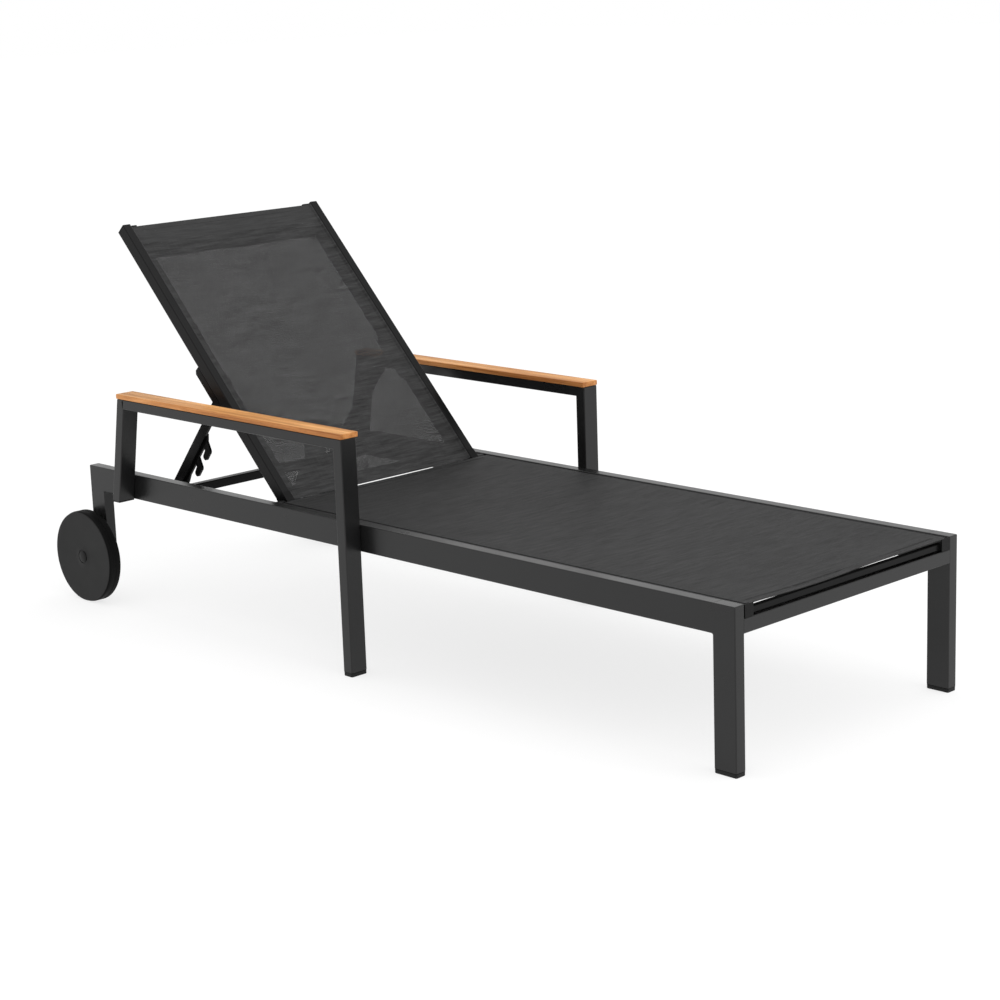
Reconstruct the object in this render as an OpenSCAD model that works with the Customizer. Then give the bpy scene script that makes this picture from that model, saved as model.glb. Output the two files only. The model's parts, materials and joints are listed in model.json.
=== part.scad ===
// Reclining sun lounger with armrests, a sling seat, a notched backrest and two wheels.
// X runs along the lounger: the foot end is towards +X, the head end towards -X, and
// X = 0 is half way. Y runs across it, with the sitter's right at -Y. Z is up and the
// floor is Z = 0. Inside the modules X is measured from the foot end, so it is negative,
// and placed() moves each piece to the middle.

/* [Base frame] */
// Length of the base frame from the foot end to the head end
frame_length = 1873; // [1700:1:1950]
// Width of the base frame over the side rails
frame_width = 645; // [600:1:700]
// Height of the top of the side rails
rail_top = 305; // [290:1:330]
// Height of a side rail's section
rail_height = 55; // [45:1:60]
// Width of a side rail's section
rail_width = 25; // [20:1:30]
// Width of a leg along the lounger
leg_depth = 50; // [45:1:60]
// Wall of the metal tubes
wall = 1.6; // [1.5:0.1:3]
// Corner radius of the metal tubes
corner = 2; // [1.5:0.1:3]

/* [Arms] */
// Distance of the front arm post behind the foot end
arm_front = 954; // [900:1:1020]
// Length of the armrest along its top
arm_length = 738; // [650:1:760]
// Width of the arm tubes across the lounger
arm_width = 40; // [35:1:50]
// Thickness of the arm posts along the lounger
arm_depth = 25; // [20:1:30]
// Height of the top of the arm tube
arm_top = 480.5; // [450:0.5:520]
// Height of the arm tube's section
arm_tube_height = 21; // [18:1:30]
// Lean of the rear arm post from the vertical
post_lean = 10.4; // [0:0.1:15]
// Thickness of the wooden armrest
slat_thickness = 10.5; // [8:0.5:20]

/* [Wheels] */
// Radius of a wheel over its tyre
wheel_radius = 103; // [90:0.5:110]
// Width of a wheel
wheel_width = 32; // [24:1:36]
// Gap between a wheel and its leg
wheel_gap = 11; // [5:1:15]

/* [Backrest] */
// Distance of the backrest's hinge behind the foot end
hinge_back = 1248; // [1240:1:1260]
// Angle of the backrest above the horizontal
back_angle = 46.5; // [0:0.1:46.5]
// Length of a backrest rail above its hinge
back_length = 741; // [650:1:760]
// Width of the backrest over its rails
back_width = 548; // [520:1:552]
// Width of a backrest rail, lip and ledge together
back_rail_width = 40; // [36:1:44]
// Depth of a backrest rail, front to rear
back_rail_depth = 27; // [25:1:30]

/* [Seat] */
// Width of a seat sling rail
seat_rail_width = 22; // [20:1:24]
// Height of a seat sling rail
seat_rail_height = 23.6; // [20:0.1:24]
// Thickness of the sling fabric
sling = 1.6; // [1:0.1:2]

/* [Hidden] */

// Finishes
charcoal = [0.20, 0.20, 0.21];
plastic = [0.08, 0.08, 0.085];
teak = [0.79, 0.54, 0.31];
mesh_grey = [0.27, 0.27, 0.28];
steel = [0.45, 0.45, 0.47];

// Planes across the lounger, as distances from its middle
rail_out = frame_width / 2;
rail_in = rail_out - rail_width;
arm_out = rail_out + arm_width;
back_out = back_width / 2;
back_in = back_out - back_rail_width;

// Base frame
rail_bottom = rail_top - rail_height;
rail_mid = rail_top - rail_height / 2;
glide_height = 8;
foot_rail_height = 27;
foot_rail_bottom = 253;
cross_height = 20;
cross_bottom = 251;
cross_front_x = -961;
cross_rear_x = -1200;
catch_width = 18;
catch_x = -1649;
wheel_leg_bottom = 75;

// Arms
slat_gap = 0.6;
slat_inner_lip = 4.5;
slat_length = arm_length + 3;
arm_rear = arm_front + arm_length;
post_bottom = 251;
plug_height = 3;
first_screw = 100;
screw_pitch = 260;
screw_radius = 2.5;

// Wheels
axle_radius = 5;
running_gap = 0.05;
axle_inset = 10.5;
axle_x = -frame_length + axle_inset;
half_length = (frame_length - axle_inset + wheel_radius) / 2;
axle_inner_end = rail_in - 7;
wheel_in = rail_out + wheel_gap;
wheel_out = wheel_in + wheel_width;
disc_radius = 95.5;
hub_pocket_radius = 11;
hub_pocket_depth = 7;
hub_cap_radius = 13;

// Seat
seat_rail_top = rail_top - 1;
seat_rail_out = rail_in - 2;
seat_rail_in = seat_rail_out - seat_rail_width;
seat_rail_rear = -1227;
cap_thickness = 3;
spreader_size = 16;
spreader_top = 297;
spreader_middle_x = -640;
spreader_rear_x = -1205;
foot_spreader_depth = 12;
foot_spreader_height = 15;
foot_spreader_top = 296;
foot_spreader_x = -12;
sling_rear = -1226;
keder_radius = 1.8;
groove_width = 4;
groove_depth = 5;
seat_groove_y = seat_rail_in + 7;

// Backrest, in its own flat frame: X = -distance along the back, Z = 0 at mid depth
hinge_x = -hinge_back;
hinge_z = 294.5;
hinge_radius = 5;
back_front = back_rail_depth / 2;
lip_width = 20;
ledge_step = 6;
ledge_z = back_front - ledge_step;
knuckle_end = 22;
top_bar_at = 678;
bottom_bar_at = 24;
back_bar_width = 25;
back_bar_depth = 18;
back_bar_z = -3.5;
back_groove_y = back_out - lip_width - 6;
sling_start = 5;

// Support strut, in its own flat frame: X = -distance along the arm, Z = -height of a hook
strut_at = 317.5;
strut_behind = 9;
strut_angle = 50.8;
strut_length = 331;
strut_half = 11.5;
strut_out = back_in - 2;
strut_thickness = 6;
plate_thickness = 5;
pin_radius = 4;
hook_pitch = 52;
bracket_start = 256;
bracket_length = 116;
bracket_depth = 17;
bracket_in = back_in + 8;

// Moves a piece drawn from the foot end to the middle of the lounger
module placed() {
    translate([half_length, 0, 0])
        children();
}

// Centred rounded rectangle
module rounded_rect(w, h, r) {
    square([w - 2 * r, h], center = true);
    square([w, h - 2 * r], center = true);
    for (sx = [-1, 1])
        for (sy = [-1, 1])
            translate([sx * (w / 2 - r), sy * (h / 2 - r)])
                circle(r = r, $fn = 32);
}

// Wall of a rectangular tube, seen end on
module tube_section(w, h) {
    difference() {
        rounded_rect(w, h, corner);
        square([w - 2 * wall, h - 2 * wall], center = true);
    }
}

// Stands a Z extrusion along X, with its first side across Y and its second along Z
module along_x(x, y, z) {
    translate([x, y, z])
        rotate([90, 0, 90])
            children();
}

// Stands a Z extrusion along Y, starting at y
module along_y(x, y, z) {
    translate([x, y, z])
        rotate([-90, 0, 0])
            children();
}

// Round bar along Y between two distances from the middle, on one side
module cross_pin(side, from, to, r) {
    low = min(side * from, side * to);
    along_y(0, low, 0)
        cylinder(r = r, h = abs(to - from), $fn = 48);
}

// Slab along Y between two distances from the middle, from an outline in X and Z
module side_slab(side, from, to) {
    high = max(side * from, side * to);
    translate([0, high, 0])
        rotate([90, 0, 0])
            linear_extrude(abs(to - from))
                children();
}

// Places children drawn in the backrest's flat frame
module in_back() {
    translate([hinge_x, 0, hinge_z])
        rotate([0, back_angle, 0])
            children();
}

// Places children drawn in the strut's flat frame
module in_strut() {
    in_back()
        translate([-strut_at, 0, -strut_behind])
            rotate([0, -back_angle - strut_angle, 0])
                children();
}

// Upright rectangular tube with a closed top
module leg(side, x_front, bottom, top, y_in, y_out, depth) {
    w = y_out - y_in;
    y = side * (y_in + w / 2);
    difference() {
        translate([x_front - depth / 2, y, bottom])
            linear_extrude(top - bottom)
                rounded_rect(depth, w, corner);
        translate([x_front - depth / 2, y, bottom - 1])
            linear_extrude(top - bottom - wall + 1)
                square([depth - 2 * wall, w - 2 * wall], center = true);
    }
}

// Plastic foot with a stem that fills the bottom of a leg
module glide(side, x_front, y_in, y_out, depth) {
    w = y_out - y_in;
    stem_clearance = 0.2;
    color(plastic)
        translate([x_front - depth / 2, side * (y_in + w / 2), 0]) {
            linear_extrude(glide_height - 0.1)
                rounded_rect(depth + 0.8, w + 0.8, corner);
            translate([0, 0, 1])
                linear_extrude(glide_height + 18)
                    square([depth - 2 * wall - stem_clearance, w - 2 * wall - stem_clearance], center = true);
        }
}

module side_rail(side) {
    length = frame_length - 2 * leg_depth;
    color(charcoal)
        along_x(-frame_length + leg_depth, side * (rail_in + rail_width / 2), rail_mid)
            linear_extrude(length)
                tube_section(rail_width, rail_height);
}

module foot_leg(side) {
    color(charcoal)
        leg(side, 0, glide_height, rail_top, rail_in, rail_out, leg_depth);
}

module foot_glide(side) {
    glide(side, 0, rail_in, rail_out, leg_depth);
}

// Tube between the inner faces of the side rails
module cross_tube(x, z, w, h, half_span) {
    along_y(x, -half_span, z)
        linear_extrude(2 * half_span)
            tube_section(w, h);
}

module foot_rail() {
    color(charcoal)
        cross_tube(-rail_width / 2, foot_rail_bottom + foot_rail_height / 2,
            rail_width, foot_rail_height, rail_in);
}

module seat_cross_rail(x) {
    color(charcoal)
        cross_tube(x, cross_bottom + cross_height / 2, rail_width, cross_height, rail_in);
}

module catch_bar() {
    color(charcoal)
        cross_tube(catch_x, cross_bottom + cross_height / 2, catch_width, cross_height, rail_in);
}

module wheel_leg(side) {
    color(charcoal)
        difference() {
            leg(side, -frame_length + leg_depth, wheel_leg_bottom, rail_top, rail_in, rail_out, leg_depth);
            translate([axle_x, 0, wheel_radius])
                cross_pin(side, rail_in - 1, rail_out + 1, axle_radius + running_gap);
        }
}

module arm_front_post(side) {
    color(charcoal)
        leg(side, -arm_front, glide_height, arm_top, rail_out, arm_out, arm_depth);
}

module arm_glide(side) {
    glide(side, -arm_front, rail_out, arm_out, arm_depth);
}

// How far back the leaning post has moved at a height
function lean(z) = (arm_top - z) * tan(post_lean);

// Outline of the leaning post between two heights, drawn in by a margin front and rear
module post_outline(low, high, margin) {
    polygon([
        [-arm_rear - lean(low) + margin, low], [-arm_rear - lean(low) + arm_depth - margin, low],
        [-arm_rear - lean(high) + arm_depth - margin, high], [-arm_rear - lean(high) + margin, high]
    ]);
}

module arm_rear_post(side) {
    color(charcoal)
        difference() {
            side_slab(side, rail_out, arm_out)
                post_outline(post_bottom, arm_top, 0);
            side_slab(side, rail_out + wall, arm_out - wall)
                post_outline(post_bottom - 1, arm_top - wall, wall);
        }
}

// Plastic plugs in the open lower ends of the leaning posts
module rear_post_plugs() {
    color(plastic)
        for (side = [-1, 1]) {
            side_slab(side, rail_out + 0.5, arm_out - 0.5)
                post_outline(post_bottom - plug_height, post_bottom - 0.1, 0);
            side_slab(side, rail_out + wall + 0.1, arm_out - wall - 0.1)
                post_outline(post_bottom - 2, post_bottom + 15, wall + 0.1);
        }
}

module arm_top_tube(side) {
    low = arm_top - arm_tube_height;
    rear = -arm_rear + arm_depth;
    front = -arm_front - arm_depth;
    color(charcoal)
        difference() {
            side_slab(side, rail_out, arm_out)
                polygon([[rear - lean(low), low], [front, low], [front, arm_top], [rear, arm_top]]);
            side_slab(side, rail_out + wall, arm_out - wall)
                polygon([
                    [rear + wall, low + wall], [front - wall, low + wall],
                    [front - wall, arm_top - wall], [rear + wall, arm_top - wall]
                ]);
            armrest_screw_places(side)
                cylinder(r = screw_radius + 0.1, h = 3 * wall, center = true, $fn = 24);
        }
}

// Underside of the arm tube at each screw that holds a slat
module armrest_screw_places(side) {
    for (i = [0:2])
        translate([-arm_front - first_screw - i * screw_pitch, side * (rail_out + arm_width / 2), 0])
            for (z = [arm_top - arm_tube_height + wall / 2, arm_top - wall / 2])
                translate([0, 0, z])
                    children();
}

module armrest_slat(side) {
    lip_y = rail_out - slat_inner_lip;
    low_y = min(side * lip_y, side * (arm_out + 0.5));
    color(teak)
        difference() {
            translate([-arm_rear - 2, low_y, arm_top + slat_gap])
                cube([slat_length, arm_out + 0.5 - lip_y, slat_thickness]);
            for (i = [0:2])
                translate([-arm_front - first_screw - i * screw_pitch, side * (rail_out + arm_width / 2), arm_top])
                    cylinder(r = screw_radius + 0.1, h = 6.5, $fn = 24);
        }
}

module armrest_screws() {
    head_z = arm_top - arm_tube_height;
    color(steel)
        for (side = [-1, 1])
            for (i = [0:2])
                translate([-arm_front - first_screw - i * screw_pitch, side * (rail_out + arm_width / 2), head_z]) {
                    cylinder(r = screw_radius, h = arm_tube_height + 6, $fn = 24);
                    translate([0, 0, -2.4])
                        cylinder(r = 4.5, h = 2.3, $fn = 32);
                }
}

// Bolt from inside the wheel leg to the hub, with a collar that spaces the wheel
module axle(side) {
    color(steel)
        translate([axle_x, 0, wheel_radius]) {
            cross_pin(side, axle_inner_end, wheel_out - 2.5, axle_radius);
            cross_pin(side, axle_inner_end, rail_in - 0.1, 9);
            cross_pin(side, rail_out + 0.1, wheel_in - 0.4, 9);
            cross_pin(side, wheel_out - hub_pocket_depth + 0.5, wheel_out - 2.5, 8);
        }
}

module wheel_disc(side) {
    web = 5;
    color(plastic)
        translate([axle_x, 0, wheel_radius])
            difference() {
                cross_pin(side, wheel_in + 1, wheel_out - 0.5, disc_radius - 0.1);
                // Hollow on the inner side, between the hub and the rim
                difference() {
                    cross_pin(side, wheel_in, wheel_out - 0.5 - web, disc_radius - 8);
                    cross_pin(side, wheel_in - 1, wheel_out, 18);
                }
                cross_pin(side, wheel_in - 1, wheel_out + 1, axle_radius + running_gap);
                cross_pin(side, wheel_out - hub_pocket_depth, wheel_out + 1, hub_pocket_radius);
            }
}

module wheel_tyre(side) {
    shoulder = 4;
    color(plastic)
        translate([axle_x, side * (wheel_in + wheel_width / 2), wheel_radius])
            rotate([90, 0, 0])
                rotate_extrude($fn = 128)
                    difference() {
                        union() {
                            translate([disc_radius, -wheel_width / 2 + shoulder])
                                square([wheel_radius - disc_radius, wheel_width - 2 * shoulder]);
                            translate([disc_radius, -wheel_width / 2])
                                square([wheel_radius - disc_radius - shoulder, wheel_width]);
                            for (s = [-1, 1])
                                translate([wheel_radius - shoulder, s * (wheel_width / 2 - shoulder)])
                                    circle(r = shoulder, $fn = 32);
                        }
                        translate([disc_radius - 10, -wheel_width])
                            square([10, 2 * wheel_width]);
                    }
}

module hub_cap(side) {
    color(plastic)
        translate([axle_x, 0, wheel_radius]) {
            cross_pin(side, wheel_out - 0.4, wheel_out + 2.5, hub_cap_radius);
            difference() {
                cross_pin(side, wheel_out - hub_pocket_depth + 1, wheel_out - 0.4, hub_pocket_radius - 0.2);
                cross_pin(side, wheel_out - hub_pocket_depth, wheel_out - 1.5, hub_pocket_radius - 2);
            }
        }
}

module seat_rail(side) {
    y = side * (seat_rail_in + seat_rail_width / 2);
    color(charcoal)
        difference() {
            along_x(seat_rail_rear, y, seat_rail_top - seat_rail_height / 2)
                linear_extrude(-seat_rail_rear - cap_thickness)
                    tube_section(seat_rail_width, seat_rail_height);
            translate([seat_rail_rear - 1, side * seat_groove_y - groove_width / 2, seat_rail_top - groove_depth])
                cube([-seat_rail_rear + 1, groove_width, groove_depth + 1]);
        }
}

// Plastic plugs in both ends of both seat rails
module seat_rail_caps() {
    w = seat_rail_width;
    h = seat_rail_height;
    color(plastic)
        for (side = [-1, 1])
            for (foot = [0, 1]) {
                y = side * (seat_rail_in + w / 2);
                z = seat_rail_top - h / 2;
                face_x = foot ? -cap_thickness + 0.1 : seat_rail_rear - cap_thickness;
                stem_x = foot ? -cap_thickness - 12 : seat_rail_rear - 1;
                along_x(face_x, y, z)
                    linear_extrude(cap_thickness - 0.1)
                        rounded_rect(w + 0.6, h + 0.6, corner);
                along_x(stem_x, y, z - 2)
                    linear_extrude(13)
                        square([w - 2 * wall - 0.4, h - 2 * wall - 5], center = true);
            }
}

module seat_spreader(x) {
    color(charcoal)
        cross_tube(x, spreader_top - spreader_size / 2, spreader_size, spreader_size, seat_rail_in);
}

// Slimmer tube at the foot end, between the foot rail and the sling's edge
module seat_spreader_foot() {
    color(charcoal)
        cross_tube(foot_spreader_x, foot_spreader_top - foot_spreader_height / 2, foot_spreader_depth,
            foot_spreader_height, seat_rail_in);
}

// Cords that hold the sling's edges in the seat rails' grooves
module seat_keders() {
    color(plastic)
        for (side = [-1, 1])
            along_x(sling_rear, side * seat_groove_y, seat_rail_top - groove_depth + 2.2)
                cylinder(r = keder_radius, h = -sling_rear - 5, $fn = 24);
}

module seat_sling() {
    half = seat_rail_out - 1;
    color(mesh_grey)
        translate([sling_rear, -half, seat_rail_top + 0.3])
            cube([-sling_rear - 1, 2 * half, sling]);
}

module hinge_stud(side) {
    color(steel)
        translate([hinge_x, 0, hinge_z])
            cross_pin(side, back_in - 9, rail_in, hinge_radius);
}

// Nylon spacers between the side rails and the backrest rails
module hinge_bushes() {
    color(plastic)
        for (side = [-1, 1])
            translate([hinge_x, 0, hinge_z])
                difference() {
                    cross_pin(side, back_out + 0.3, rail_in - 0.1, 9);
                    cross_pin(side, back_out, rail_in, hinge_radius + running_gap);
                }
}

module hinge_nuts() {
    color(steel)
        for (side = [-1, 1])
            translate([hinge_x, 0, hinge_z])
                difference() {
                    cross_pin(side, back_in - 7, back_in - 0.4, 8);
                    cross_pin(side, back_in - 8, back_in, hinge_radius + running_gap);
                }
}

// Outline of a backrest rail seen from its upper end: a full-depth lip with a lower
// ledge inboard of it
module back_rail_outline(side) {
    ledge_width = back_rail_width - lip_width;
    translate([side * (back_out - lip_width / 2), 0])
        rounded_rect(lip_width, back_rail_depth, corner);
    translate([side * (back_in + ledge_width / 2), -ledge_step / 2])
        rounded_rect(ledge_width, back_rail_depth - ledge_step, corner);
    translate([side * (back_in + ledge_width), -ledge_step / 2])
        square([3 * corner, back_rail_depth - ledge_step], center = true);
}

// Wall of a backrest rail, with a groove under the sling's edge
module back_rail_section(side) {
    lip_mid = side * (back_out - lip_width / 2);
    ledge_width = back_rail_width - lip_width;
    ledge_mid = side * (back_in + ledge_width / 2);
    difference() {
        back_rail_outline(side);
        translate([lip_mid, 0])
            square([lip_width - 2 * wall, back_rail_depth - 2 * wall], center = true);
        translate([ledge_mid, -ledge_step / 2])
            square([ledge_width - 2 * wall, back_rail_depth - ledge_step - 2 * wall], center = true);
        translate([side * back_groove_y - groove_width / 2, ledge_z - groove_depth])
            square([groove_width, groove_depth + 1]);
    }
}

module back_rail(side) {
    color(charcoal)
        in_back()
            along_x(-back_length, 0, 0)
                linear_extrude(back_length - knuckle_end)
                    back_rail_section(side);
}

// Plastic end pieces of the backrest rails, which turn on the hinge studs
module hinge_knuckles() {
    ledge_in = back_out - lip_width;
    color(plastic)
        in_back()
            for (side = [-1, 1])
                difference() {
                    union() {
                        cross_pin(side, back_in, back_out, back_front);
                        side_slab(side, back_in, back_out)
                            translate([-knuckle_end + 0.1, -back_front])
                                square([knuckle_end - 0.1, 2 * back_front]);
                        side_slab(side, ledge_in + wall + 0.2, back_out - wall - 0.2)
                            translate([-knuckle_end - 15, -back_front + wall + 0.2])
                                square([20, 2 * back_front - 2 * wall - 0.4]);
                    }
                    side_slab(side, back_in - 1, ledge_in)
                        translate([-knuckle_end - 1, ledge_z])
                            square([knuckle_end + 20, back_rail_depth]);
                    cross_pin(side, back_in - 1, back_out + 1, hinge_radius + running_gap);
                }
}

// Plastic plugs in the upper ends of the backrest rails
module back_rail_caps() {
    ledge_in = back_out - lip_width;
    color(plastic)
        in_back()
            for (side = [-1, 1]) {
                along_x(-back_length - cap_thickness, 0, 0)
                    linear_extrude(cap_thickness - 0.1)
                        back_rail_outline(side);
                side_slab(side, ledge_in + wall + 0.2, back_out - wall - 0.2)
                    translate([-back_length - 1, -back_front + wall + 0.2])
                        square([13, 2 * back_front - 2 * wall - 0.4]);
            }
}

// Tube between the backrest rails, at a distance along the back
module back_bar(at) {
    color(charcoal)
        in_back()
            cross_tube(-at, back_bar_z, back_bar_width, back_bar_depth, back_in);
}

module back_keders() {
    color(plastic)
        in_back()
            for (side = [-1, 1])
                along_x(-back_length + 2, side * back_groove_y, ledge_z - groove_depth + 2.2)
                    cylinder(r = keder_radius, h = back_length - knuckle_end - 4, $fn = 24);
}

module back_sling() {
    half = back_out - lip_width - 1;
    color(mesh_grey)
        in_back()
            translate([-back_length + 1, -half, ledge_z + 0.3])
                cube([back_length - sling_start - 1, 2 * half, sling]);
}

// Block on the rear of a backrest rail that stiffens it at the strut's pivot
module strut_bracket(side) {
    chamfer = 6;
    low = -back_rail_depth / 2 - bracket_depth;
    high = -back_rail_depth / 2;
    near_end = -bracket_start;
    far_end = -bracket_start - bracket_length;
    color(charcoal)
        in_back()
            side_slab(side, bracket_in, back_out)
                polygon([
                    [far_end, high], [far_end, low + chamfer], [far_end + chamfer, low],
                    [near_end - chamfer, low], [near_end, low + chamfer], [near_end, high]
                ]);
}

// Shouldered studs on the inner faces of the backrest rails that carry the struts
module strut_pins() {
    strut_in = strut_out - strut_thickness;
    color(steel)
        in_back()
            translate([-strut_at, 0, -strut_behind])
                for (side = [-1, 1]) {
                    cross_pin(side, strut_in - 3, back_in, pin_radius);
                    cross_pin(side, strut_out + 0.3, back_in, 8);
                    cross_pin(side, strut_in - 4, strut_in - 0.3, 7);
                }
}

// Flat bar from the pivot down to the catch bar
module strut_arm(side) {
    color(charcoal)
        in_strut()
            difference() {
                union() {
                    cross_pin(side, strut_out - strut_thickness, strut_out, strut_half);
                    side_slab(side, strut_out - strut_thickness, strut_out)
                        translate([-strut_length, -strut_half])
                            square([strut_length, 2 * strut_half]);
                }
                cross_pin(side, strut_out - 2 * strut_thickness, strut_out + 1, pin_radius + running_gap);
            }
}

// One hook as a bent finger, its root at a distance along the strut
module finger(at) {
    hull() {
        translate([-at, -14])
            circle(r = 9, $fn = 32);
        translate([-at - 9, -32])
            circle(r = 9, $fn = 32);
    }
    hull() {
        translate([-at - 9.2, -32.2])
            circle(r = 8.5, $fn = 32);
        translate([-at - 26, -33.5])
            circle(r = 7.4, $fn = 32);
    }
}

// Plate with two open hooks and, below them, the ledge that bears on the catch bar
module hook_plate(side) {
    first_hook = 171;
    plate_out = strut_out - strut_thickness;
    color(charcoal)
        in_strut()
            side_slab(side, plate_out - plate_thickness, plate_out) {
                for (i = [0:1])
                    finger(first_hook + i * hook_pitch);
                polygon([
                    [-strut_length, 6], [-strut_length, -11.4], [-307, -11.4], [-298, -22],
                    [-289, -22], [-272, -18], [-162, -18], [-150, -10], [-150, 6]
                ]);
            }
}

placed() side_rail(-1);  // side_rail_R
placed() side_rail(1);  // side_rail_L
placed() foot_leg(-1);  // foot_leg_R
placed() foot_leg(1);  // foot_leg_L
placed() foot_glide(-1);  // foot_glide_R
placed() foot_glide(1);  // foot_glide_L
placed() foot_rail();
placed() seat_cross_rail(cross_front_x);  // seat_cross_rail_front
placed() seat_cross_rail(cross_rear_x);  // seat_cross_rail_rear
placed() catch_bar();
placed() wheel_leg(-1);  // wheel_leg_R
placed() wheel_leg(1);  // wheel_leg_L
placed() arm_front_post(-1);  // arm_front_post_R
placed() arm_front_post(1);  // arm_front_post_L
placed() arm_top_tube(-1);  // arm_top_tube_R
placed() arm_top_tube(1);  // arm_top_tube_L
placed() arm_rear_post(-1);  // arm_rear_post_R
placed() arm_rear_post(1);  // arm_rear_post_L
placed() arm_glide(-1);  // arm_glide_R
placed() arm_glide(1);  // arm_glide_L
placed() rear_post_plugs();
placed() armrest_slat(-1);  // armrest_slat_R
placed() armrest_slat(1);  // armrest_slat_L
placed() armrest_screws();
placed() axle(-1);  // axle_R
placed() axle(1);  // axle_L
placed() wheel_disc(-1);  // wheel_disc_R
placed() wheel_disc(1);  // wheel_disc_L
placed() wheel_tyre(-1);  // wheel_tyre_R
placed() wheel_tyre(1);  // wheel_tyre_L
placed() hub_cap(-1);  // hub_cap_R
placed() hub_cap(1);  // hub_cap_L
placed() seat_rail(-1);  // seat_rail_R
placed() seat_rail(1);  // seat_rail_L
placed() seat_rail_caps();
placed() seat_spreader_foot();
placed() seat_spreader(spreader_middle_x);  // seat_spreader_middle
placed() seat_spreader(spreader_rear_x);  // seat_spreader_rear
placed() seat_keders();
placed() seat_sling();
placed() hinge_stud(-1);  // hinge_stud_R
placed() hinge_stud(1);  // hinge_stud_L
placed() hinge_bushes();
placed() hinge_nuts();
placed() hinge_knuckles();
placed() back_rail(-1);  // back_rail_R
placed() back_rail(1);  // back_rail_L
placed() back_rail_caps();
placed() back_bar(top_bar_at);  // back_top_bar
placed() back_bar(bottom_bar_at);  // back_bottom_bar
placed() back_keders();
placed() back_sling();
placed() strut_bracket(-1);  // strut_bracket_R
placed() strut_bracket(1);  // strut_bracket_L
placed() strut_pins();
placed() strut_arm(-1);  // strut_arm_R
placed() strut_arm(1);  // strut_arm_L
placed() hook_plate(-1);  // hook_plate_R
placed() hook_plate(1);  // hook_plate_L
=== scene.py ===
"""Reclining sun lounger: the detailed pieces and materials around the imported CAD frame.

Metres, +Z up, +X towards the foot end, the sitter's right at -Y. The origin is on the floor,
half way along the lounger and in the middle of its width.
"""
import json
import math
import bpy
import bmesh
from mathutils import Matrix, Vector, noise


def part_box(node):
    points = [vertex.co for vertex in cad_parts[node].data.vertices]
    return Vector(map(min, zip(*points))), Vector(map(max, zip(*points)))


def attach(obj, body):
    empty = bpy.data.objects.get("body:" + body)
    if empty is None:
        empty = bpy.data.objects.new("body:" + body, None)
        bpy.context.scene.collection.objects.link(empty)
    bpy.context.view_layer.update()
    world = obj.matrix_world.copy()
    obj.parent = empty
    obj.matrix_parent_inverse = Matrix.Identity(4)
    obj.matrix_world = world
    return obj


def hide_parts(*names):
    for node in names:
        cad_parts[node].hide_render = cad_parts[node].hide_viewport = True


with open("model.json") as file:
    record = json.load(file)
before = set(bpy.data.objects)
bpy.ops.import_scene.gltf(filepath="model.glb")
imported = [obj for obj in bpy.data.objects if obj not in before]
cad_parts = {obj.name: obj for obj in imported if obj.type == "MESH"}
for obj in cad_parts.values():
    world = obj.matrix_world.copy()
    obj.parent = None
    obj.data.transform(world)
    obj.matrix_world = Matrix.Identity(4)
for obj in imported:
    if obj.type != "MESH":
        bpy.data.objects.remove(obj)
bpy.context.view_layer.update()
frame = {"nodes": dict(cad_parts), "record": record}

NODES = frame["nodes"]
SIDES = {"R": -1, "L": 1}

# Measures shared with the CAD, in metres
HALF = 0.98275
RAIL_OUT = 0.3225
RAIL_TOP = 0.305
RAIL_LOW = 0.250
HINGE = Vector((HALF - 1.248, 0, 0.2945))
BACK_ANGLE = math.radians(46.5)
BACK_OUT = 0.274
BACK_IN = BACK_OUT - 0.040
LIP = 0.020
BACK_FRONT = 0.0135
LEDGE = BACK_FRONT - 0.006
BACK_LEN = 0.741
ARM_TOP = 0.4805
AXLE = Vector((HALF - 1.8625, 0, 0.103))
WHEEL_IN = RAIL_OUT + 0.011
WHEEL_WIDTH = 0.032
WHEEL_RADIUS = 0.103
ARM_REAR = HALF - 1.692
POST_LEAN = math.tan(math.radians(10.4))
# Rounding of the tubes' long edges
CORNER = 0.0022


def box(node):
    """The two corners of a CAD node's box."""
    lo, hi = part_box(node)
    return Vector(lo), Vector(hi)


# ---------------------------------------------------------------- materials

def new_material(name):
    mat = bpy.data.materials.new(name)
    mat.use_nodes = True
    nodes = mat.node_tree.nodes
    return mat, nodes, mat.node_tree.links, nodes["Principled BSDF"]


def add(nodes, kind, **inputs):
    """A new node with the given inputs set."""
    n = nodes.new(kind)
    for k, v in inputs.items():
        n.inputs[k.replace("_", " ")].default_value = v
    return n


def coords(nodes, links, scale=(1, 1, 1)):
    """The object's own coordinates, scaled."""
    tex = nodes.new("ShaderNodeTexCoord")
    mapping = nodes.new("ShaderNodeMapping")
    mapping.inputs["Scale"].default_value = scale
    links.new(tex.outputs["Object"], mapping.inputs["Vector"])
    return mapping.outputs["Vector"]


def ramp(nodes, links, source, stops):
    """A colour ramp over source; stops are (position, colour)."""
    r = nodes.new("ShaderNodeValToRGB")
    els = r.color_ramp.elements
    while len(els) < len(stops):
        els.new(0.5)
    for el, (pos, col) in zip(els, stops):
        el.position = pos
        el.color = (*col, 1)
    links.new(source, r.inputs["Fac"])
    return r.outputs["Color"]


def grey(level, blue=1.0):
    """A grey as a colour; blue makes it a little colder."""
    return (level, level, level * blue)


def multiply(nodes, links, a, b):
    """The product of two colours."""
    mix = nodes.new("ShaderNodeMix")
    mix.data_type = "RGBA"
    mix.blend_type = "MULTIPLY"
    mix.inputs["Factor"].default_value = 1.0
    links.new(a, mix.inputs["A"])
    links.new(b, mix.inputs["B"])
    return mix.outputs["Result"]


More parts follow.
